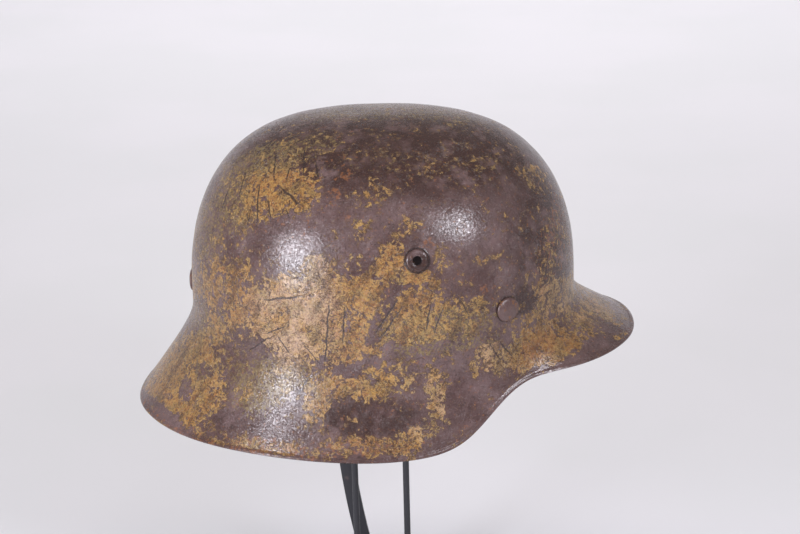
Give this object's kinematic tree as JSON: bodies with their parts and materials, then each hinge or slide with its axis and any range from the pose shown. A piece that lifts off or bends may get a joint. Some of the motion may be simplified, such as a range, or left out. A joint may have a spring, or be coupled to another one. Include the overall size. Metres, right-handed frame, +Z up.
{
  "type": "military steel helmet on a display stand",
  "caption": "Bare pressed steel military helmet with peak, flared neck guard, air vents and rivets, held under its crown by a plain metal stand.",
  "frame": {"origin": "middle of the underside of the stand's round base, on the surface that it stands on", "axes": "+X toward the helmet's visor, +Y toward the wearer's left, +Z up"},
  "size_m": [0.304, 0.2242, 0.3345],
  "materials": {
    "helmet_paint": "worn, rusted matt paint with a dull gloss on the rubbed parts",
    "rivet_paint": "worn dark paint",
    "stand_metal": "satin black"
  },
  "bodies": {
    "root": {"shell": "helmet_paint", "right_front_rivet": "rivet_paint", "left_front_rivet": "rivet_paint", "rear_rivet": "rivet_paint", "stand_base": "stand_metal", "stand_front_rod": "stand_metal", "stand_rear_rod": "stand_metal", "stand_strut": "stand_metal", "stand_rest": "stand_metal"}
  },
  "joints": []
}
